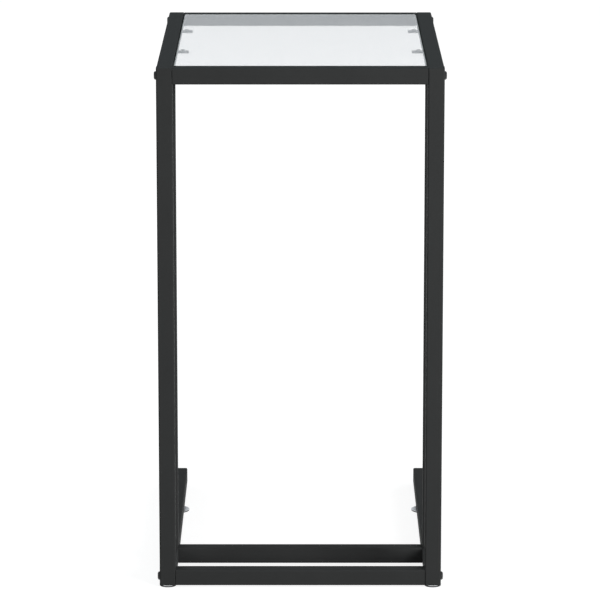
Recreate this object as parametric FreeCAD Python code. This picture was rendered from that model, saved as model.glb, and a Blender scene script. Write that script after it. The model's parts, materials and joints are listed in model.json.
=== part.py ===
import FreeCAD, Part
import math
import os
from FreeCAD import Vector

# Side table, millimetres. X runs across the table, Y from the spine to the open end, Z up.
# The origin is on the floor, in the middle of the table's outline.

# Frame
frame_width = 350.0
frame_depth = 500.0
frame_height = 650.0
tube_size = 20.0
tube_wall = 1.2
tube_corner = 2.0
post_spacing = 100.0
foot_height = 2.4
fit_clearance = 0.1
running_clearance = 0.05
overrun = 5.0

# Bolted crossbars
bolt_radius = 3.0
bolt_length = 30.0
bolt_hole_radius = 3.3
bolt_head_radius = 5.25
bolt_head_height = 2.8
bolt_head_land = 0.6
bolt_head_flat_radius = 2.9
socket_across_flats = 4.0
socket_depth = 1.8
end_plate_thickness = 3.0
weld_nut_across_flats = 10.0
weld_nut_height = 5.0

# Caps and plugs of the tube ends
end_cap_thickness = 2.0
plug_flange = 4.0
plug_flange_chamfer = 1.2
plug_depth = 6.0
plug_wall = 1.6
plug_rib_height = 0.7
plug_rib_width = 1.0
plug_rib_count = 2

# Welds
post_weld_leg = 2.5
tab_weld_leg = 1.8

# Glass top and what carries it
glass_thickness = 5.0
glass_gap = 1.2
glass_corner = 4.0
glass_edge_chamfer = 0.4
tab_inset = 160.0
tab_length = 15.5
tab_width = 12.0
tab_thickness = 2.0
tab_corner = 1.5
pad_radius = 3.0
pad_thickness = 1.5
pad_chamfer = 0.3

# Front glides, pinned to a plug in the post's open lower end
front_glide_radius = 10.5
front_cap_thickness = 0.5
glide_plug_depth = 5.5
glide_pin_radius = 1.5
glide_pin_length = 5.0

# Rear levelling feet, screwed into an insert in the base rail's lower wall
rear_foot_radius = 16.5
rear_cap_thickness = 0.3
rear_foot_inset = 135.0
stud_radius = 3.0
stud_length = 16.0
stud_tip_chamfer = 0.6
insert_radius = 4.5
insert_length = 10.0
insert_flange_radius = 6.0
insert_flange_thickness = 0.3
insert_bulge_radius = 5.5
insert_bulge_height = 2.5

# Sole of both kinds of foot
sole_inset = 0.1
sole_edge_chamfer = 0.4

# Places worked out from the sizes
glide_overhang = front_glide_radius - tube_size / 2
front_y = (glide_overhang - frame_depth - plug_flange) / 2
back_y = front_y + frame_depth
low_z = foot_height
high_z = foot_height + frame_height
outer_x = frame_width / 2
inner_x = outer_x - tube_size
side_x = outer_x - tube_size / 2
bore_size = tube_size - 2 * tube_wall
front_post_y = front_y + tube_size / 2
inner_post_y = front_post_y + post_spacing
back_bar_y = back_y - tube_size / 2
rear_foot_y = back_y - rear_foot_inset
base_rail_z = low_z + tube_size / 2
top_rail_z = high_z - tube_size / 2
glass_low_z = high_z - glass_thickness
tab_top_z = glass_low_z - pad_thickness
tab_y_places = (front_y + tab_inset, back_y - tab_inset)

sides = {"left": -1, "right": 1}
bars = {
    "top_front_bar": (front_post_y, top_rail_z),
    "top_back_bar": (back_bar_y, top_rail_z),
    "base_front_bar": (front_post_y, base_rail_z),
    "base_middle_bar": (inner_post_y, base_rail_z),
}


def moved(shape, x, y, z):
    """A copy of the shape, carried from the origin to a place."""
    copy = shape.copy()
    copy.translate(Vector(x, y, z))
    return copy


def turned(shape, axis, degrees):
    """A copy of the shape, turned about an axis through the origin."""
    copy = shape.copy()
    copy.rotate(Vector(0, 0, 0), Vector(*axis), degrees)
    return copy


def along_x(shape):
    """A shape built up +Z, laid along +X."""
    return turned(shape, (0, 1, 0), 90)


def along_y(shape):
    """A shape built up +Z, laid along +Y."""
    return turned(shape, (1, 0, 0), -90)


def mirrored_x(shape):
    """The shape's mirror image across the table's middle plane."""
    return shape.mirror(Vector(0, 0, 0), Vector(1, 0, 0))


def sided(shape, side):
    """A shape drawn for the right side, on the side asked for."""
    return shape if side > 0 else mirrored_x(shape)


def rounded_rectangle(width, depth, corner):
    """Face of a rectangle with round corners, centred on the origin."""
    x = width / 2 - corner
    y = depth / 2 - corner
    arcs = []
    for quarter, (centre_x, centre_y) in enumerate(((x, y), (-x, y), (-x, -y), (x, -y))):
        circle = Part.Circle(Vector(centre_x, centre_y, 0), Vector(0, 0, 1), corner)
        start = quarter * math.pi / 2
        arcs.append(Part.ArcOfCircle(circle, start, start + math.pi / 2))
    edges = []
    for arc, following in zip(arcs, arcs[1:] + arcs[:1]):
        edges.append(arc.toShape())
        edges.append(Part.LineSegment(arc.EndPoint, following.StartPoint).toShape())
    return Part.Face(Part.Wire(edges))


def rounded_block(width, depth, corner, height):
    """A block with round upright corners, standing on the origin."""
    return rounded_rectangle(width, depth, corner).extrude(Vector(0, 0, height))


def square_block(width, height):
    """A block with a square outline, standing on the origin."""
    return Part.makeBox(width, width, height, Vector(-width / 2, -width / 2, 0))


def turned_profile(points):
    """The solid that an outline of radius and height pairs sweeps about the Z axis."""
    corners = [Vector(radius, 0, height) for radius, height in points]
    outline = Part.makePolygon(corners + corners[:1])
    return Part.Face(outline).revolve(Vector(0, 0, 0), Vector(0, 0, 1), 360)


def tube(length):
    """Square steel tube with round corners, standing on the origin."""
    outside = rounded_block(tube_size, tube_size, tube_corner, length)
    return outside.cut(square_block(bore_size, length))


def bolt_hole(y, z):
    """Cutter for a bolt's clearance hole, right across one side frame on the right."""
    length = tube_size + 2 * overrun
    return Part.makeCylinder(bolt_hole_radius, length, Vector(inner_x - overrun, y, z), Vector(1, 0, 0))


def front_post():
    """Full height post of the spine, drilled for the front bars' bolts."""
    post = moved(tube(frame_height), side_x, front_post_y, low_z)
    for bar_z in (base_rail_z, top_rail_z):
        post = post.cut(bolt_hole(front_post_y, bar_z))
    return post


def inner_post():
    """Second post, between the base rail and the top rail."""
    return moved(tube(frame_height - 2 * tube_size), side_x, inner_post_y, low_z + tube_size)


def rail(z):
    """Side rail from the back of the front post to the open end."""
    return moved(along_y(tube(frame_depth - tube_size)), side_x, front_y + tube_size, z)


def top_rail():
    """Rail beside the glass, drilled for the back bar's bolt."""
    return rail(top_rail_z).cut(bolt_hole(back_bar_y, top_rail_z))


def base_rail():
    """Rail on the floor side, drilled for the middle bar's bolt and the foot's insert."""
    length = tube_wall + 2 * overrun
    insert_hole = Part.makeCylinder(
        insert_radius + fit_clearance, length, Vector(side_x, rear_foot_y, low_z - overrun)
    )
    return rail(base_rail_z).cut(bolt_hole(inner_post_y, base_rail_z)).cut(insert_hole)


def end_cap():
    """Steel plate that closes a tube's end, its outer face on the origin."""
    cap = square_block(bore_size - 2 * fit_clearance, end_cap_thickness)
    return moved(cap, 0, 0, -end_cap_thickness)


def end_caps():
    """Plates set flush in the front post's top end and in the top rail's back end."""
    return [
        moved(end_cap(), side_x, front_post_y, high_z),
        moved(along_y(end_cap()), side_x, back_y, top_rail_z),
    ]


def fillet_weld(leg, length):
    """Hollow-faced weld bead along X, in the corner between +Y and +Z."""
    toe_y = Vector(-length / 2, leg, 0)
    toe_z = Vector(-length / 2, 0, leg)
    root = Vector(-length / 2, 0, 0)
    throat = leg * (1 - math.cos(math.radians(45)))
    middle = Vector(-length / 2, throat, throat)
    edges = [
        Part.LineSegment(root, toe_y).toShape(),
        Part.Arc(toe_y, middle, toe_z).toShape(),
        Part.LineSegment(toe_z, root).toShape(),
    ]
    return Part.Face(Part.Wire(edges)).extrude(Vector(length, 0, 0))


def frame_welds():
    """Beads in the corners between the posts and the rails of one side frame."""
    flat = tube_size - 2 * tube_corner
    low_bead = fillet_weld(post_weld_leg, flat)
    high_bead = turned(low_bead, (1, 0, 0), -90)
    floor_z = low_z + tube_size
    ceiling_z = high_z - tube_size
    post_back = inner_post_y + tube_size / 2
    post_front = inner_post_y - tube_size / 2
    beads = []
    for corner_y in (front_y + tube_size, post_back):
        beads.append(moved(low_bead, side_x, corner_y, floor_z))
        beads.append(moved(high_bead, side_x, corner_y, ceiling_z))
    beads.append(moved(turned(low_bead, (1, 0, 0), 90), side_x, post_front, floor_z))
    beads.append(moved(turned(low_bead, (1, 0, 0), 180), side_x, post_front, ceiling_z))
    return beads


def crossbar(y, z):
    """Tube between the two side frames."""
    return moved(along_x(tube(2 * inner_x)), -inner_x, y, z)


def end_plate(y, z):
    """Plate set flush in a crossbar's end, bored for the bolt."""
    plate = square_block(bore_size - 2 * fit_clearance, end_plate_thickness)
    bore = Part.makeCylinder(bolt_hole_radius, end_plate_thickness)
    return moved(along_x(plate.cut(bore)), inner_x - end_plate_thickness, y, z)


def hexagon(across_flats, height):
    """Six-sided prism standing on the origin."""
    radius = across_flats / 2 / math.cos(math.radians(30))
    corners = [
        Vector(radius * math.cos(side * math.pi / 3), radius * math.sin(side * math.pi / 3), 0)
        for side in range(7)
    ]
    return Part.Face(Part.makePolygon(corners)).extrude(Vector(0, 0, height))


def weld_nut(y, z):
    """Nut behind the end plate, which the bolt's thread runs in."""
    bore = Part.makeCylinder(bolt_radius + running_clearance, weld_nut_height)
    nut = hexagon(weld_nut_across_flats, weld_nut_height).cut(bore)
    return moved(along_x(nut), inner_x - end_plate_thickness - weld_nut_height, y, z)


def frame_bolt(y, z):
    """Button-head bolt with a hexagon socket, from the outer face of the side frame."""
    crown_radius = (bolt_head_radius + bolt_head_flat_radius) / 2
    crown_share = 0.66
    crown_height = bolt_head_land + crown_share * (bolt_head_height - bolt_head_land)
    outline = [
        (0, bolt_head_height),
        (bolt_head_flat_radius, bolt_head_height),
        (crown_radius, crown_height),
        (bolt_head_radius, bolt_head_land),
        (bolt_head_radius, 0),
        (bolt_radius, 0),
        (bolt_radius, -bolt_length),
        (0, -bolt_length),
    ]
    socket = moved(hexagon(socket_across_flats, socket_depth + overrun), 0, 0, bolt_head_height - socket_depth)
    return moved(along_x(turned_profile(outline).cut(socket)), outer_x, y, z)


def plug_body(depth):
    """Ribbed hollow body of a tube plug, standing on the origin."""
    body = square_block(bore_size - 2 * plug_rib_height, depth)
    for rib in range(plug_rib_count):
        rib_z = (rib + 1) * depth / (plug_rib_count + 1) - plug_rib_width / 2
        body = body.fuse(moved(square_block(bore_size - 2 * fit_clearance, plug_rib_width), 0, 0, rib_z))
    return body.removeSplitter()


def base_rail_plug():
    """Plastic plug in the base rail's open end, hollow towards the inside of the tube."""
    flange = rounded_block(tube_size, tube_size, tube_corner, plug_flange)
    rim = [edge for edge in flange.Edges if edge.BoundBox.ZMin > plug_flange - fit_clearance]
    flange = flange.makeChamfer(plug_flange_chamfer, rim)
    hollow_size = bore_size - 2 * plug_rib_height - 2 * plug_wall
    hollow = moved(square_block(hollow_size, plug_depth), 0, 0, -plug_depth)
    body = moved(plug_body(plug_depth), 0, 0, -plug_depth).cut(hollow)
    return moved(along_y(flange.fuse(body).removeSplitter()), side_x, back_y, base_rail_z)


def glass_top():
    """Toughened pane lying between the rails, flush with the frame's top."""
    width = 2 * (inner_x - glass_gap)
    depth = frame_depth - 2 * (tube_size + glass_gap)
    pane = rounded_block(width, depth, glass_corner, glass_thickness)
    level = [edge for edge in pane.Edges if edge.BoundBox.ZLength < fit_clearance]
    return moved(pane.makeChamfer(glass_edge_chamfer, level), 0, (front_y + back_y) / 2, glass_low_z)


def glass_tab(y):
    """Flat lug on the inner face of the top rail, with round free corners."""
    blank = rounded_block(2 * tab_length, tab_width, tab_corner, tab_thickness)
    half = Part.makeBox(tab_length, tab_width, tab_thickness, Vector(-tab_length, -tab_width / 2, 0))
    return moved(blank.common(half), inner_x, y, tab_top_z - tab_thickness)


def tab_weld(y):
    """Bead under the lug, against the rail."""
    bead = turned(turned(fillet_weld(tab_weld_leg, tab_width), (1, 0, 0), -90), (0, 0, 1), 90)
    return moved(bead, inner_x, y, tab_top_z - tab_thickness)


def glass_pad(y):
    """Soft pad between the lug and the glass."""
    points = [
        (0, 0),
        (pad_radius, 0),
        (pad_radius, pad_thickness - pad_chamfer),
        (pad_radius - pad_chamfer, pad_thickness),
        (0, pad_thickness),
    ]
    return moved(turned_profile(points), inner_x - tab_length / 2, y, tab_top_z)


def foot_cup(radius, hole_radius, under_z, top_z):
    """Thin steel cap of a foot: a disc with a hole, between two heights."""
    points = [
        (hole_radius, under_z),
        (radius, under_z),
        (radius, top_z),
        (hole_radius, top_z),
    ]
    return turned_profile(points)


def foot_sole(radius, top_z):
    """Nylon sole under the cap, with a chamfered edge on the floor."""
    side_radius = radius - sole_inset
    points = [
        (0, 0),
        (side_radius - sole_edge_chamfer, 0),
        (side_radius, sole_edge_chamfer),
        (side_radius, top_z),
        (0, top_z),
    ]
    return turned_profile(points)


def front_glide():
    """Pieces of the glide under a front post, by name."""
    seat_z = low_z
    cap_low_z = seat_z - front_cap_thickness
    pin = Part.makeCylinder(glide_pin_radius, glide_pin_length + front_cap_thickness)
    pin_hole = Part.makeCylinder(glide_pin_radius, glide_plug_depth)
    plug = plug_body(glide_plug_depth).cut(pin_hole)
    cup = foot_cup(front_glide_radius, glide_pin_radius, cap_low_z, seat_z)
    sole = foot_sole(front_glide_radius, cap_low_z)
    return {
        "front_glide_plug": moved(plug, side_x, front_post_y, seat_z),
        "front_glide_cup": moved(cup, side_x, front_post_y, 0),
        "front_glide_sole": moved(sole, side_x, front_post_y, 0),
        "front_glide_pin": moved(pin, side_x, front_post_y, cap_low_z),
    }


def foot_insert():
    """Threaded insert crimped into the base rail's lower wall."""
    bore_radius = stud_radius + running_clearance
    points = [
        (bore_radius, -insert_flange_thickness),
        (insert_flange_radius, -insert_flange_thickness),
        (insert_flange_radius, 0),
        (insert_radius, 0),
        (insert_radius, tube_wall),
        (insert_bulge_radius, tube_wall),
        (insert_radius, tube_wall + insert_bulge_height),
        (insert_radius, insert_length),
        (bore_radius, insert_length),
    ]
    return moved(turned_profile(points), side_x, rear_foot_y, low_z)


def rear_foot():
    """Pieces of a levelling foot, screwed right in, by name."""
    seat_z = low_z - insert_flange_thickness - fit_clearance
    cap_low_z = seat_z - rear_cap_thickness
    points = [
        (0, 0),
        (stud_radius, 0),
        (stud_radius, stud_length - stud_tip_chamfer),
        (stud_radius - stud_tip_chamfer, stud_length),
        (0, stud_length),
    ]
    stud = turned_profile(points)
    cup = foot_cup(rear_foot_radius, stud_radius, cap_low_z, seat_z)
    sole = foot_sole(rear_foot_radius, cap_low_z)
    return {
        "rear_foot_stud": moved(stud, side_x, rear_foot_y, cap_low_z),
        "rear_foot_cup": moved(cup, side_x, rear_foot_y, 0),
        "rear_foot_sole": moved(sole, side_x, rear_foot_y, 0),
    }


def on_both_sides(shapes):
    """The shapes and their mirror images."""
    return [sided(shape, side) for shape in shapes for side in sides.values()]


def side_pieces():
    """The pieces that stand once on each side, by name without the side."""
    pieces = {
        "front_post": front_post(),
        "inner_post": inner_post(),
        "top_rail": top_rail(),
        "base_rail": base_rail(),
        "base_rail_plug": base_rail_plug(),
        "foot_insert": foot_insert(),
    }
    pieces.update(front_glide())
    pieces.update(rear_foot())
    return pieces


def group_pieces():
    """Crossbars, glass and the groups of like small pieces, by name."""
    groups = {name: [crossbar(y, z)] for name, (y, z) in bars.items()}
    groups["glass_top"] = [glass_top()]
    groups["tube_end_caps"] = on_both_sides(end_caps())
    groups["frame_welds"] = on_both_sides(frame_welds())
    groups["glass_tabs"] = on_both_sides([glass_tab(y) for y in tab_y_places])
    groups["tab_welds"] = on_both_sides([tab_weld(y) for y in tab_y_places])
    groups["glass_pads"] = on_both_sides([glass_pad(y) for y in tab_y_places])
    groups["bar_end_plates"] = on_both_sides([end_plate(y, z) for y, z in bars.values()])
    groups["bar_weld_nuts"] = on_both_sides([weld_nut(y, z) for y, z in bars.values()])
    groups["frame_bolts"] = on_both_sides([frame_bolt(y, z) for y, z in bars.values()])
    return groups


def save(name, solids):
    """Writes one named sub-part and prints its size."""
    shape = solids[0] if len(solids) == 1 else Part.makeCompound(solids)
    shape.exportStep(f"parts/{name}.step")
    print(f"{name}: {len(shape.Solids)} solids, {shape.Volume:.1f} mm3, valid {shape.isValid()}")


os.makedirs("parts", exist_ok=True)
for piece_name, piece in side_pieces().items():
    for side_name, side in sides.items():
        save(f"{side_name}_{piece_name}", [sided(piece, side)])
for group_name, group in group_pieces().items():
    save(group_name, group)
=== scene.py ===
import json
import math

import bmesh
import bpy
import numpy as np
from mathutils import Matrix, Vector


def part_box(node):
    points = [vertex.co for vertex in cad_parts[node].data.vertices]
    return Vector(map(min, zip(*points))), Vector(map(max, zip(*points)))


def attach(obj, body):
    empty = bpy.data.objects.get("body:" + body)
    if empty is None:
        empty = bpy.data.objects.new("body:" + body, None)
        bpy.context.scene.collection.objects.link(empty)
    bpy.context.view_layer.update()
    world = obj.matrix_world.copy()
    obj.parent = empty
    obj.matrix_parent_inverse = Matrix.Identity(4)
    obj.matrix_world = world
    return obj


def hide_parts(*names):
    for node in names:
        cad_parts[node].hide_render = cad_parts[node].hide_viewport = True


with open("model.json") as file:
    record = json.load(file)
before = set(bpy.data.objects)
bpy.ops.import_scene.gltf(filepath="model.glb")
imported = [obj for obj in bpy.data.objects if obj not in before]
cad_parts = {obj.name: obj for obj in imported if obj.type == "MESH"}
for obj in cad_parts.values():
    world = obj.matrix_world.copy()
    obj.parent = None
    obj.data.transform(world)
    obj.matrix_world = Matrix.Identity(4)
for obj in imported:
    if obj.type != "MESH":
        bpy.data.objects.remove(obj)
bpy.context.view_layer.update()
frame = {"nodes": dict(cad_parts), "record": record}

# Bolts and studs, in metres
mm = 0.001
thread_pitch = 1.0 * mm
thread_depth = 0.55 * mm
shank_radius = 3.0 * mm
tip_chamfer = 0.6 * mm
edge_softening = 0.12 * mm
bolt_length = 30.0 * mm
bolt_neck = 2.0 * mm
bolt_head_radius = 5.25 * mm
bolt_head_height = 2.8 * mm
bolt_head_land = 0.6 * mm
bolt_head_flat = 2.9 * mm
socket_across_flats = 4.0 * mm
socket_depth = 1.8 * mm
socket_chamfer = 0.15 * mm
stud_foot = 1.8 * mm
stud_thread_start = 2.2 * mm

# How much steeper than a plain triangle wave the thread's flanks are
thread_steepness = 1.35

# Weld beads, in metres
post_weld_leg = 2.5 * mm
tab_weld_leg = 1.8 * mm
tab_width = 12.0 * mm
tube_corner = 2.0 * mm
weld_ripple_pitch = 1.1 * mm
weld_end_length = 1.6 * mm

# Power that makes a bead's section a little rounder than a flat face, which has 1
weld_fullness = 1.12

# Ripples of a bead: depth as a share of the leg, and in turns how far their phase runs ahead at the
# section's middle and moves on from one bead to the next
ripple_depth = 0.09
ripple_lead = 0.35
ripple_shift = 0.37

# Wander of a bead: size as a share of the leg, and in radians its phase from end to end and from
# one bead to the next
wander_size = 0.04
wander_angle = 9.0
wander_shift = 2.1

# Share of the leg that is left at a bead's very end, and what the round end adds to it
weld_end_share = 0.02
weld_end_rise = 0.92

# How finely the new pieces are drawn, and how their points are merged and their edges shaded
bolt_columns = 48
bolt_rows_per_turn = 5
crown_rows = 9
stud_columns = 64
stud_rows_per_turn = 10
weld_columns = 13
weld_rows_per_ripple = 7
weld_rows_least = 12
merge_distance = 1e-7
sharp_edge = math.radians(35.0)

# The same for the CAD nodes
node_merge_distance = 1e-6
node_sharp_edge = math.radians(32.0)

# Surface grain: detail and roughness of its three noises, and the wave's scale beside the fine one
fine_noise = (3.0, 0.55)
wave_noise = (1.0, 0.5)
tone_noise = (4.0, 0.6)
wave_to_fine = 1 / 8

# Glass and silicone
glass_ior = 1.5
ground_edge_band = 0.6 * mm
ground_edge_green = (0.62, 0.84, 0.78)
ground_edge_roughness = 0.35
silicone_ior = 1.41

# Studio: share of a white world that lights the object, and what gloss and glass show of it
white = (1.0, 1.0, 1.0)
world_light = 0.22
mirrored_colour = (0.58, 0.61, 0.635)
white_through_glass = 1.2

# Each lamp's place and size in metres, power in watts and colour
lamp_target = (0.0, 0.0, 0.35)
lamps = {
    "overhead_softbox": ((0.0, -0.2, 3.2), 1.2, 24.0, (0.74, 0.94, 1.0)),
    "left_softbox": ((-2.6, -2.4, 1.0), 1.6, 33.0, white),
    "right_softbox": ((1.9, -2.0, 0.9), 1.4, 78.0, white),
    "back_left_softbox": ((-2.8, 2.6, 1.1), 1.8, 70.0, white),
    "back_right_softbox": ((2.8, 2.6, 1.1), 1.8, 70.0, white),
}

# Floor: half its side in metres, its grey, and the distance from the origin and the brightness
# where its own lift begins and ends to rise
floor_half = 30.0
floor_grey = (0.25, 0.25, 0.25)
lift_near = (0.9, 0.86)
lift_far = (3.2, 0.96)

# Camera, solved from the photograph's edges, in pixels, degrees and metres
photo_pixels = 600
camera_focal_pixels = 3814.6
camera_pitch_degrees = 12.11
camera_offset_x = -0.0004
camera_distance = 4.5697
camera_height = 1.3465
camera_clip = (0.05, 200.0)
sensor_width_in_mm = 36.0


def node_box(name):
    """Lowest and highest corner of a CAD node as two arrays."""
    low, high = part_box(name)
    return np.array(low), np.array(high)


def node_centre(name):
    """Middle of a CAD node's box."""
    low, high = node_box(name)
    return (low + high) / 2


def new_object(name, data):
    """An object with its data, in the scene."""
    added = bpy.data.objects.new(name, data)
    bpy.context.scene.collection.objects.link(added)
    return added


# Shapes as grids of points


def sheet_faces(rows, columns, start):
    """Faces of a grid whose columns wrap round, with a fan at each end.

    Vertex (i, j) has the number start + i * columns + j. The two fan centres come after the grid.
    """
    i, j = np.meshgrid(np.arange(rows - 1), np.arange(columns), indexing="ij")
    here, following = i * columns, (j + 1) % columns
    above = here + columns
    quads = np.stack([here + j, here + following, above + following, above + j], axis=-1)
    ring = np.arange(columns)
    beside = (ring + 1) % columns
    first = np.stack([np.full(columns, rows * columns), beside, ring], axis=-1)
    last_row = (rows - 1) * columns
    last = np.stack([np.full(columns, rows * columns + 1), last_row + ring, last_row + beside], axis=-1)
    faces = (quads.reshape(-1, 4) + start).tolist()
    return faces + (first + start).tolist() + (last + start).tolist()


def closed_piece(name, sheets):
    """One object from closed grids, each an array of rows x columns x 3 whose columns wrap round.

    A fan round the middle of its first and last row closes each grid. Points that meet are merged,
    and the faces are turned outwards.
    """
    points, faces, start = [], [], 0
    for sheet in sheets:
        rows, columns = sheet.shape[:2]
        centres = np.stack([sheet[0].mean(axis=0), sheet[-1].mean(axis=0)])
        points.append(np.concatenate([sheet.reshape(-1, 3), centres]))
        faces += sheet_faces(rows, columns, start)
        start += len(points[-1])
    mesh = bpy.data.meshes.new(name)
    mesh.from_pydata(np.concatenate(points).tolist(), [], faces)
    work = bmesh.new()
    work.from_mesh(mesh)
    bmesh.ops.remove_doubles(work, verts=work.verts, dist=merge_distance)
    bmesh.ops.recalc_face_normals(work, faces=work.faces)
    work.to_mesh(mesh)
    work.free()
    mesh.shade_smooth()
    mesh.set_sharp_from_angle(angle=sharp_edge)
    return new_object(name, mesh)


def hexagon_share(angles):
    """Distance from a hexagon's middle to its side, as a share of half its width across flats.

    It is 1 / cos of the angle from the nearest flat's middle.
    """
    from_flat = np.mod(angles, math.pi / 3) - math.pi / 6
    return 1 / np.cos(from_flat)


def thread_wave(heights, angles):
    """Thread profile from 0 at the root to 1 at the crest.

    The phase is height / pitch minus the turn's share of a circle. A triangle wave of the phase,
    drawn steeper about its middle and clipped, leaves narrow flats at root and crest.
    """
    phase = np.mod(heights / thread_pitch - angles / (2 * math.pi), 1.0)
    triangle = 1 - np.abs(2 * phase - 1)
    return np.clip(thread_steepness * triangle - (thread_steepness - 1) / 2, 0, 1)


def threaded_rows(low, high, angles, rows_per_turn):
    """Rows of a threaded stretch of shank, as radius and height arrays of rows x angles.

    A radius is the root's plus the depth times the thread's wave. Over one pitch at each end the
    thread runs out.
    """
    count = int(round((high - low) / thread_pitch * rows_per_turn)) + 1
    heights = np.linspace(low, high, count)[:, None] * np.ones_like(angles)[None, :]
    from_end = np.minimum(heights - low, high - heights)
    runout = np.clip(from_end / thread_pitch, 0, 1)
    root = shank_radius - thread_depth
    radii = root + thread_depth * thread_wave(heights, angles[None, :]) * runout
    return radii, heights


def lathe_rows(profile, angles, shape=None):
    """Rows from (radius, height) pairs, as radius and height arrays of rows x angles.

    Where a shape is given, each row's radius is multiplied by it.
    """
    pairs = np.array(profile)
    factor = np.ones_like(angles) if shape is None else shape
    return pairs[:, :1] * factor[None, :], pairs[:, 1:] * np.ones_like(angles)[None, :]


def turned_sheet(parts, angles):
    """Grid of points (r cos a, r sin a, h) from stacked radius and height rows."""
    radii = np.concatenate([radius for radius, height in parts])
    heights = np.concatenate([height for radius, height in parts])
    return np.stack([radii * np.cos(angles), radii * np.sin(angles), heights], axis=-1)


def bolt_sheet():
    """Button-head bolt up +Z with its seat at zero: socket, crown, seat, neck, thread and tip.

    The crown is a quarter of an ellipse, from the flat ring round the socket down to the land.
    """
    angles = np.linspace(0, 2 * math.pi, bolt_columns, endpoint=False)
    flat = socket_across_flats / 2
    corner = flat / math.cos(math.pi / 6)
    floor = bolt_head_height - socket_depth
    socket_profile = [(flat / 2, floor), (flat, floor), (flat, bolt_head_height - socket_chamfer)]
    socket = lathe_rows(socket_profile, angles, hexagon_share(angles))
    sweep = np.linspace(0, math.pi / 2, crown_rows)
    crown_radius = bolt_head_flat + (bolt_head_radius - bolt_head_flat) * np.sin(sweep)
    crown_height = bolt_head_land + (bolt_head_height - bolt_head_land) * np.cos(sweep)
    head_profile = [(corner + socket_chamfer / 2, bolt_head_height)]
    head_profile += list(zip(crown_radius.tolist(), crown_height.tolist()))
    head_profile += [(bolt_head_radius, edge_softening), (bolt_head_radius - edge_softening, 0)]
    head_profile += [(shank_radius, 0), (shank_radius, -bolt_neck / 2)]
    head = lathe_rows(head_profile, angles)
    radii, heights = threaded_rows(tip_chamfer - bolt_length, -bolt_neck, angles, bolt_rows_per_turn)
    thread = (radii[::-1], heights[::-1])
    tip = lathe_rows([(shank_radius - tip_chamfer, -bolt_length)], angles)
    return turned_sheet([socket, head, thread, tip], angles)


def stud_sheet(length):
    """Foot stud up +Z from zero: plain foot, thread and chamfered tip."""
    angles = np.linspace(0, 2 * math.pi, stud_columns, endpoint=False)
    foot_profile = [(shank_radius - edge_softening, 0), (shank_radius, edge_softening)]
    foot_profile += [(shank_radius, stud_foot)]
    foot = lathe_rows(foot_profile, angles)
    thread = threaded_rows(stud_thread_start, length - tip_chamfer, angles, stud_rows_per_turn)
    tip = lathe_rows([(shank_radius - thread_depth - tip_chamfer / 2, length)], angles)
    return turned_sheet([foot, thread, tip], angles)


def weld_sheet(length, leg, seed):
    """Bead along +X in the corner between +Y and +Z.

    Across, a point at angle p from +Y lies at leg / (cos p ^ n + sin p ^ n) ^ (1 / n), a little fuller
    than a flat face, and the corner itself closes the section. Along, the leg is multiplied by
    overlapping ripples, a slow wander and round ends. Each ripple is a crescent, because its phase
    runs ahead at the section's middle.
    """
    rows = max(int(length / weld_ripple_pitch * weld_rows_per_ripple), weld_rows_least)
    along = np.linspace(-length / 2, length / 2, rows)
    across = np.linspace(0, math.pi / 2, weld_columns)
    face = (np.cos(across) ** weld_fullness + np.sin(across) ** weld_fullness) ** (-1 / weld_fullness)
    crescent = ripple_lead * np.sin(2 * across)
    phase = np.mod(along[:, None] / weld_ripple_pitch + crescent[None, :] + seed * ripple_shift, 1.0)
    ripple = 1 - ripple_depth * (1 - np.sin(math.pi * phase))
    wander = 1 + wander_size * np.sin(along / length * wander_angle + seed * wander_shift)
    to_end = np.clip((length / 2 - np.abs(along)) / weld_end_length, 0, 1)
    ends = np.sqrt(1 - (1 - to_end) ** 2) * weld_end_rise + weld_end_share
    reach = leg * face[None, :] * ripple * (wander * ends)[:, None]
    reach = np.minimum(reach, leg * face[None, :])
    x = np.repeat(along[:, None], len(across), axis=1)
    arc = np.stack([x, reach * np.cos(across), reach * np.sin(across)], axis=-1)
    root = np.stack([along, np.zeros_like(along), np.zeros_like(along)], axis=-1)[:, None, :]
    return np.concatenate([root, arc], axis=1)


def placed(sheet, place, axes):
    """The grid's own X, Y and Z carried to a place along three given directions."""
    return sheet @ np.array(axes, float) + np.array(place)


# Materials


def add_node(tree, kind, settings=None, values=None):
    """A node with its settings and unlinked input values."""
    node = tree.nodes.new(kind)
    for key, value in (settings or {}).items():
        setattr(node, key, value)
    for key, value in (values or {}).items():
        node.inputs[key].default_value = value
    return node


def math_node(tree, operation, *values):
    """A Math node on sockets or numbers; returns its output."""
    node = add_node(tree, "ShaderNodeMath", {"operation": operation})
    for socket, value in zip(node.inputs, values):
        if isinstance(value, (int, float)):
            socket.default_value = value
        else:
            tree.links.new(value, socket)
    return node.outputs[0]


def mixed_numbers(tree, share, first, second):
    """A number between two others, by the second one's share.

    A Mix node's sockets are taken by number, because numbers and colours share their names.
    """
    node = add_node(tree, "ShaderNodeMix", {"data_type": "FLOAT"})
    share_socket, first_socket, second_socket = node.inputs[0], node.inputs[2], node.inputs[3]
    tree.links.new(share, share_socket)
    tree.links.new(first, first_socket)
    tree.links.new(second, second_socket)
    return node.outputs[0]


def two_tone(tree, share, dark, light):
    """A colour between dark and light, by the light one's share."""
    node = add_node(tree, "ShaderNodeMix", {"data_type": "RGBA"})
    share_socket, dark_socket, light_socket = node.inputs[0], node.inputs[6], node.inputs[7]
    tree.links.new(share, share_socket)
    dark_socket.default_value = (*dark, 1.0)
    light_socket.default_value = (*light, 1.0)
    return node.outputs[2]


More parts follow.
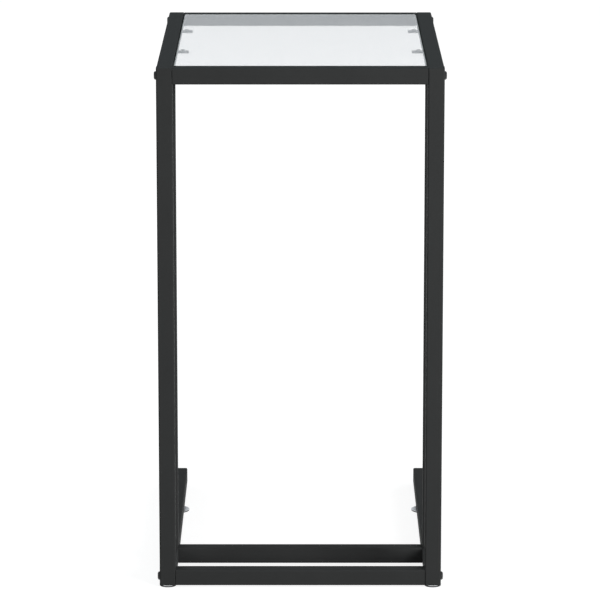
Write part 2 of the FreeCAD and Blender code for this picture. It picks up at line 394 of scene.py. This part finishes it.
def group_tree(name, inputs, outputs):
    """A shader node group of numbers: inputs with their first values, and outputs."""
    tree = bpy.data.node_groups.new(name, "ShaderNodeTree")
    for socket_name, value in inputs.items():
        socket = tree.interface.new_socket(socket_name, in_out="INPUT", socket_type="NodeSocketFloat")
        socket.default_value = value
    for socket_name in outputs:
        tree.interface.new_socket(socket_name, in_out="OUTPUT", socket_type="NodeSocketFloat")
    return tree, tree.nodes.new("NodeGroupInput"), tree.nodes.new("NodeGroupOutput")


def use_group(tree, group, values):
    """A group node in a material with its own values."""
    return add_node(tree, "ShaderNodeGroup", {"node_tree": group}, values)


def noise_output(tree, place, scale, quality):
    """Noise between 0 and 1 at a place; quality is its detail and roughness."""
    detail, roughness = quality
    node = add_node(tree, "ShaderNodeTexNoise", values={"Detail": detail, "Roughness": roughness})
    tree.links.new(place, node.inputs["Vector"])
    tree.links.new(scale, node.inputs["Scale"])
    return node.outputs["Fac"]


def grain_group():
    """Fine surface grain: a height, and a slow tone between 0 and 1 that changes over the surface.

    The height is fine noise mixed with a softer wave of noise eight times as long. The tone is noise
    on a longer scale of its own.
    """
    inputs = {"Grain Scale": 900.0, "Wave Share": 0.4, "Tone Scale": 14.0}
    tree, given, out = group_tree("surface_grain", inputs, ["Height", "Tone"])
    place = add_node(tree, "ShaderNodeTexCoord").outputs["Object"]
    fine = noise_output(tree, place, given.outputs["Grain Scale"], fine_noise)
    wave_scale = math_node(tree, "MULTIPLY", given.outputs["Grain Scale"], wave_to_fine)
    wave = noise_output(tree, place, wave_scale, wave_noise)
    height = mixed_numbers(tree, given.outputs["Wave Share"], fine, wave)
    tone = noise_output(tree, place, given.outputs["Tone Scale"], tone_noise)
    tree.links.new(height, out.inputs["Height"])
    tree.links.new(tone, out.inputs["Tone"])
    return tree


def range_group():
    """Stretches a 0 to 1 value to the range from Low to High."""
    tree, given, out = group_tree("value_range", {"Value": 0.5, "Low": 0.0, "High": 1.0}, ["Value"])
    node = add_node(tree, "ShaderNodeMapRange")
    tree.links.new(given.outputs["Value"], node.inputs["Value"])
    tree.links.new(given.outputs["Low"], node.inputs["To Min"])
    tree.links.new(given.outputs["High"], node.inputs["To Max"])
    tree.links.new(node.outputs["Result"], out.inputs["Value"])
    return tree


def pane_edge_group():
    """Mask that is 1 on a pane's ground edge and 0 on its faces.

    It compares the distance from the pane's middle along X and Y with the pane's half sizes.
    """
    inputs = {"Middle X": 0.0, "Middle Y": 0.0, "Half X": 1.0, "Half Y": 1.0, "Band": 0.0}
    tree, given, out = group_tree("pane_edge", inputs, ["Mask"])
    place = add_node(tree, "ShaderNodeTexCoord").outputs["Object"]
    split = add_node(tree, "ShaderNodeSeparateXYZ")
    tree.links.new(place, split.inputs["Vector"])
    masks = []
    for axis in "XY":
        from_middle = math_node(tree, "SUBTRACT", split.outputs[axis], given.outputs[f"Middle {axis}"])
        distance = math_node(tree, "ABSOLUTE", from_middle)
        limit = math_node(tree, "SUBTRACT", given.outputs[f"Half {axis}"], given.outputs["Band"])
        masks.append(math_node(tree, "GREATER_THAN", distance, limit))
    tree.links.new(math_node(tree, "MAXIMUM", *masks), out.inputs["Mask"])
    return tree


surface_grain = grain_group()
value_range = range_group()
pane_edge = pane_edge_group()


def ranged(tree, value, low, high):
    """The value stretched between low and high."""
    node = use_group(tree, value_range, {"Low": low, "High": high})
    tree.links.new(value, node.inputs["Value"])
    return node.outputs["Value"]


def add_bump(tree, shader, height, strength, depth):
    """Bump from a height into the shader's normal."""
    node = add_node(tree, "ShaderNodeBump", values={"Strength": strength, "Distance": depth})
    tree.links.new(height, node.inputs["Height"])
    tree.links.new(node.outputs["Normal"], shader.inputs["Normal"])


def new_material(name, settings):
    """A material with plain values on its shader; returns the material, its tree and its shader."""
    material = bpy.data.materials.new(name)
    material.use_nodes = True
    shader = material.node_tree.nodes["Principled BSDF"]
    for key, value in settings.items():
        shader.inputs[key].default_value = value
    return material, material.node_tree, shader


def finish_material(name, tones, roughness, grain, bump, settings):
    """Finish of two close tones, with roughness that changes with the tone and a fine grain.

    Roughness is a lowest and a highest value, grain its scale, wave share and tone scale, and bump
    its strength and depth.
    """
    material, tree, shader = new_material(name, settings)
    grain_scale, wave_share, tone_scale = grain
    grain_values = {"Grain Scale": grain_scale, "Wave Share": wave_share, "Tone Scale": tone_scale}
    surface = use_group(tree, surface_grain, grain_values)
    tone = surface.outputs["Tone"]
    tree.links.new(two_tone(tree, tone, *tones), shader.inputs["Base Color"])
    tree.links.new(ranged(tree, tone, *roughness), shader.inputs["Roughness"])
    add_bump(tree, shader, surface.outputs["Height"], *bump)
    return material


def glass_material(low, high):
    """Clear glass with polished faces and a satin ground edge, for a pane between two corners."""
    settings = {"Metallic": 0.0, "Transmission Weight": 1.0, "IOR": glass_ior}
    material, tree, shader = new_material("clear_toughened_glass", settings)
    middle, half = (low + high) / 2, (high - low) / 2
    pane = {"Middle X": middle[0], "Middle Y": middle[1], "Half X": half[0], "Half Y": half[1]}
    edge = use_group(tree, pane_edge, {**pane, "Band": ground_edge_band}).outputs["Mask"]
    tree.links.new(two_tone(tree, edge, white, ground_edge_green), shader.inputs["Base Color"])
    tree.links.new(ranged(tree, edge, 0.0, ground_edge_roughness), shader.inputs["Roughness"])
    return material


powder_coat = finish_material(
    "satin_black_powder_coat",
    tones=((0.030, 0.031, 0.031), (0.036, 0.037, 0.037)),
    roughness=(0.50, 0.58),
    grain=(1400.0, 0.4, 14.0),
    bump=(0.35, 0.06 * mm),
    settings={"Metallic": 0.0, "Specular IOR Level": 0.005})
black_oxide = finish_material(
    "black_oxide_bolt",
    tones=((0.014, 0.014, 0.015), (0.026, 0.025, 0.025)),
    roughness=(0.32, 0.46),
    grain=(2600.0, 0.4, 160.0),
    bump=(0.2, 0.03 * mm),
    settings={"Metallic": 0.0, "Specular IOR Level": 0.4})
zinc_plate = finish_material(
    "bright_zinc_plate",
    tones=((0.92, 0.93, 0.95), (0.97, 0.98, 0.99)),
    roughness=(0.26, 0.36),
    grain=(1800.0, 0.4, 220.0),
    bump=(0.06, 0.02 * mm),
    settings={"Metallic": 0.9, "Specular IOR Level": 0.5})
black_plastic = finish_material(
    "moulded_black_plastic",
    tones=((0.022, 0.022, 0.023), (0.030, 0.030, 0.031)),
    roughness=(0.45, 0.60),
    grain=(2400.0, 0.4, 60.0),
    bump=(0.35, 0.05 * mm),
    settings={"Metallic": 0.0, "Specular IOR Level": 0.5})
clear_silicone = finish_material(
    "clear_silicone",
    tones=((0.86, 0.89, 0.90), (0.95, 0.97, 0.97)),
    roughness=(0.12, 0.28),
    grain=(1200.0, 0.5, 150.0),
    bump=(0.15, 0.03 * mm),
    settings={"Metallic": 0.0, "Transmission Weight": 1.0, "IOR": silicone_ior})
clear_glass = glass_material(*node_box("glass_top"))

slot_materials = {
    "frame_steel": powder_coat,
    "bolt_steel": black_oxide,
    "zinc_steel": zinc_plate,
    "clear_glass": clear_glass,
    "pad_silicone": clear_silicone,
    "black_plastic": black_plastic,
}
node_slot = {row["node"]: row["material_slot"] for row in frame["record"]["subparts"]}


def dress(piece, material):
    """Gives a piece one material."""
    piece.data.materials.clear()
    piece.data.materials.append(material)


def smooth_node(piece):
    """Smooth shading on round stretches only.

    It welds the loose triangles, splits them at hard edges and lets the large flat faces set the
    normals beside them.
    """
    piece.data.shade_smooth()
    weld = piece.modifiers.new("weld", "WELD")
    weld.merge_threshold = node_merge_distance
    split = piece.modifiers.new("hard_edges", "EDGE_SPLIT")
    split.split_angle = node_sharp_edge
    piece.modifiers.new("flat_faces_lead", "WEIGHTED_NORMAL")


for node_name, node_object in frame["nodes"].items():
    dress(node_object, slot_materials[node_slot[node_name]])
    smooth_node(node_object)


# New pieces, each in the place of its CAD node


def stand_in(piece, body, node, slot_name):
    """Puts a new piece on its body in a node's place, with the node's finish."""
    dress(piece, slot_materials[slot_name])
    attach(piece, body)
    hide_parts(node)


sides = {"left": -1, "right": 1}
bar_names = ("top_front_bar", "top_back_bar", "base_front_bar", "base_middle_bar")
post_low, post_high = node_box("right_front_post")
inner_low, inner_high = node_box("right_inner_post")
base_rail_top = node_box("right_base_rail")[1][2]
top_rail_underside = node_box("right_top_rail")[0][2]
side_centre_x = node_centre("right_front_post")[0]


def bolts():
    """The eight bolts, each on its bar's middle line, heads against the side frames."""
    sheet = bolt_sheet()
    sheets = []
    for bar in bar_names:
        centre = node_centre(bar)
        for side in sides.values():
            place = (side * post_high[0], centre[1], centre[2])
            sheets.append(placed(sheet, place, [(0, side, 0), (0, 0, 1), (side, 0, 0)]))
    return closed_piece("frame_bolts_threaded", sheets)


def post_welds():
    """Beads at the posts' ends, one in each corner between a post and a rail."""
    length = post_high[0] - post_low[0] - 2 * tube_corner
    faces = ((post_high[1], 1), (inner_low[1], -1), (inner_high[1], 1))
    ends = ((base_rail_top, 1), (top_rail_underside, -1))
    corners = [(y, forward, z, up) for z, up in ends for y, forward in faces]
    sheets = []
    for side in sides.values():
        for seed, (y, forward, z, up) in enumerate(corners):
            sheet = weld_sheet(length, post_weld_leg, seed + side)
            place = (side * side_centre_x, y, z)
            sheets.append(placed(sheet, place, [(1, 0, 0), (0, forward, 0), (0, 0, up)]))
    return closed_piece("post_weld_beads", sheets)


def tab_welds():
    """Beads under the four glass tabs, against the top rails, no two of them alike."""
    weld_low, weld_high = node_box("tab_welds")
    tab_centres = (weld_low[1] + tab_width / 2, weld_high[1] - tab_width / 2)
    seed_step = 3
    sheets = []
    for side in sides.values():
        for seed, y in enumerate(tab_centres):
            sheet = weld_sheet(tab_width, tab_weld_leg, seed + seed_step * side)
            place = (side * weld_high[0], y, weld_high[2])
            sheets.append(placed(sheet, place, [(0, 1, 0), (-side, 0, 0), (0, 0, -1)]))
    return closed_piece("tab_weld_beads", sheets)


def foot_stud(side_name):
    """Threaded stud of one rear foot."""
    node = f"{side_name}_rear_foot_stud"
    low, high = node_box(node)
    middle_x, middle_y = node_centre(node)[:2]
    sheet = stud_sheet(high[2] - low[2]) + np.array((middle_x, middle_y, low[2]))
    return closed_piece(f"{side_name}_threaded_stud", [sheet])


stand_in(bolts(), "frame", "frame_bolts", "bolt_steel")
stand_in(post_welds(), "frame", "frame_welds", "frame_steel")
stand_in(tab_welds(), "frame", "tab_welds", "frame_steel")
for side_name in sides:
    stand_in(foot_stud(side_name), f"{side_name}_rear_foot", f"{side_name}_rear_foot_stud", "zinc_steel")


# Floor, light and camera


def seen_level(tree):
    """1 for camera and glossy rays, a little more through glass, 0 for the rays that light surfaces."""
    path = add_node(tree, "ShaderNodeLightPath")
    seen = math_node(tree, "MAXIMUM", path.outputs["Is Camera Ray"], path.outputs["Is Glossy Ray"])
    through = math_node(tree, "MULTIPLY", path.outputs["Is Transmission Ray"], white_through_glass)
    return math_node(tree, "MAXIMUM", seen, through)


def floor_lift(tree):
    """How brightly the floor shows by itself: less near the object, where the lamps add to it.

    It rises with the distance from the origin, so that lamps and lift together reach white and the
    object's shadow stays visible.
    """
    place = add_node(tree, "ShaderNodeTexCoord").outputs["Object"]
    distance = add_node(tree, "ShaderNodeVectorMath", {"operation": "LENGTH"})
    tree.links.new(place, distance.inputs["Vector"])
    (near, near_lift), (far, far_lift) = lift_near, lift_far
    limits = {"From Min": near, "From Max": far, "To Min": near_lift, "To Max": far_lift}
    lift = add_node(tree, "ShaderNodeMapRange", values=limits)
    tree.links.new(distance.outputs["Value"], lift.inputs["Value"])
    return lift.outputs["Result"]


def studio_floor():
    """Plain pale floor that shows white where no shadow falls."""
    mesh = bpy.data.meshes.new("studio_floor")
    corners = [(x * floor_half, y * floor_half, 0) for x, y in ((-1, -1), (1, -1), (1, 1), (-1, 1))]
    mesh.from_pydata(corners, [], [(0, 1, 2, 3)])
    floor = new_object("studio_floor", mesh)
    settings = {"Base Color": (*floor_grey, 1.0), "Roughness": 1.0, "Specular IOR Level": 0.0,
                "Emission Color": (*white, 1.0)}
    material, tree, shader = new_material("pale_floor", settings)
    lift = math_node(tree, "MULTIPLY", seen_level(tree), floor_lift(tree))
    tree.links.new(lift, shader.inputs["Emission Strength"])
    dress(floor, material)


def studio_world():
    """Soft light from all round, shown as white and mirrored as a pale cool grey."""
    world = bpy.data.worlds.new("studio")
    bpy.context.scene.world = world
    world.use_nodes = True
    tree = world.node_tree
    background = tree.nodes["Background"]
    glossy = add_node(tree, "ShaderNodeLightPath").outputs["Is Glossy Ray"]
    tree.links.new(two_tone(tree, glossy, white, mirrored_colour), background.inputs["Color"])
    strength = math_node(tree, "MULTIPLY_ADD", seen_level(tree), 1.0 - world_light, world_light)
    tree.links.new(strength, background.inputs["Strength"])


def soft_lamp(name, place, size, power, colour):
    """Square area lamp that faces the lamps' target and shows neither in gloss nor through glass.

    It is tilted up from straight down by the angle to the target, then turned about Z towards it.
    """
    data = bpy.data.lights.new(name, "AREA")
    data.shape = "SQUARE"
    data.size = size
    data.energy = power
    data.color = colour
    lamp = new_object(name, data)
    x, y, z = np.array(lamp_target) - np.array(place)
    lamp.location = place
    lamp.rotation_euler = (math.atan2(math.hypot(x, y), -z), 0, math.atan2(-x, y))
    lamp.visible_glossy = False
    lamp.visible_transmission = False


def photo_camera():
    """Camera at the photograph's viewing angle, in front of the paired posts."""
    data = bpy.data.cameras.new("photo_camera")
    data.sensor_width = sensor_width_in_mm
    data.lens = camera_focal_pixels / photo_pixels * sensor_width_in_mm
    data.clip_start, data.clip_end = camera_clip
    camera = new_object("photo_camera", data)
    camera.location = (camera_offset_x, post_low[1] - camera_distance, camera_height)
    camera.rotation_euler = (math.radians(90 - camera_pitch_degrees), 0, 0)
    bpy.context.scene.camera = camera


studio_floor()
studio_world()
for lamp_name, lamp_values in lamps.items():
    soft_lamp(lamp_name, *lamp_values)
photo_camera()
bpy.context.scene.view_settings.view_transform = "Standard"
